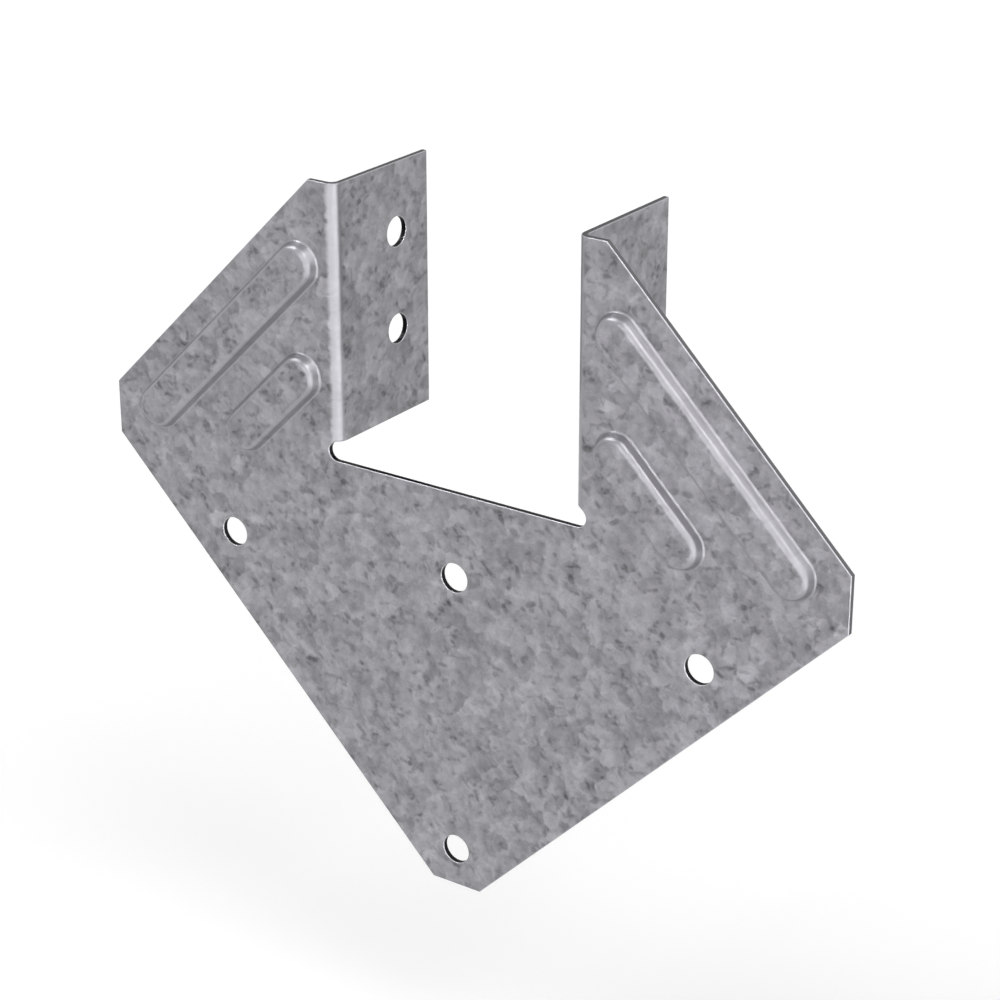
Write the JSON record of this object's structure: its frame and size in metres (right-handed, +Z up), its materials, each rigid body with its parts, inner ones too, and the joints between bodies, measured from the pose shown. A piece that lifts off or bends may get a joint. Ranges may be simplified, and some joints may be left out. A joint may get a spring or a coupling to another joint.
{
  "type": "hurricane tie",
  "caption": "Folded sheet-steel tie: a pointed nail plate with pressed ribs and a notch, and a flange on each side of the notch that holds a rafter down on its wall plate.",
  "frame": {"origin": "on the back of the plate, midway between the two nail holes on its centre line", "axes": "+Z up towards the rafter, +Y out of the plate's back into the timber, +X across, to the right of somebody who faces the front"},
  "size_m": [0.1244, 0.023, 0.1038],
  "materials": {
    "galvanised_sheet": "hot-dip galvanised, lavender-grey crystal pattern, half matt"
  },
  "bodies": {
    "root": {"hurricane_tie": "galvanised_sheet"}
  },
  "joints": []
}
